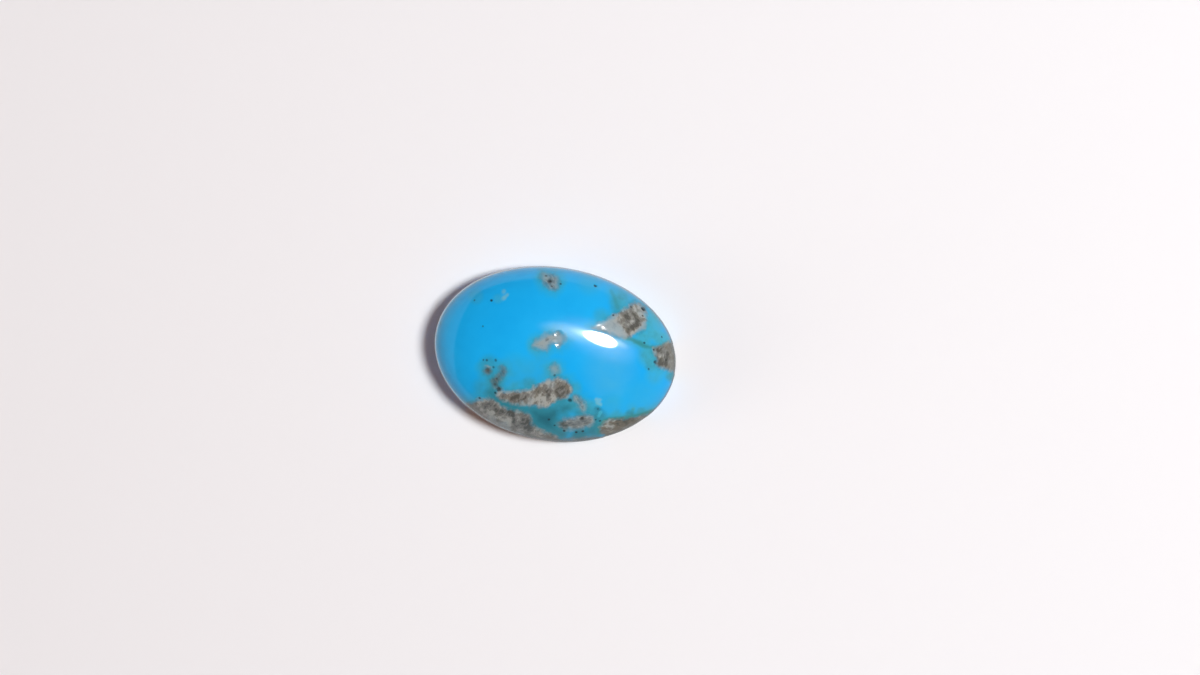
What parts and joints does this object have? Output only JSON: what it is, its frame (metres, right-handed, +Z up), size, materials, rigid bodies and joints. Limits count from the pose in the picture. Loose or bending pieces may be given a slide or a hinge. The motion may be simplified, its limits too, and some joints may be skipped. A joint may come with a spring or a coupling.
{
  "type": "turquoise cabochon",
  "caption": "Oval turquoise cabochon, a polished dome on a low girdle and flat back, sky blue with grey-brown host rock.",
  "frame": {"origin": "centre of the flat back, at the middle of the outline's box", "axes": "+X along the oval's long axis, +Y across it, +Z up out of the flat back through the dome"},
  "size_m": [0.018, 0.013, 0.0054],
  "materials": {
    "turquoise": "polished turquoise with grey-brown host rock"
  },
  "bodies": {
    "root": {"turquoise_cabochon": "turquoise"}
  },
  "joints": []
}
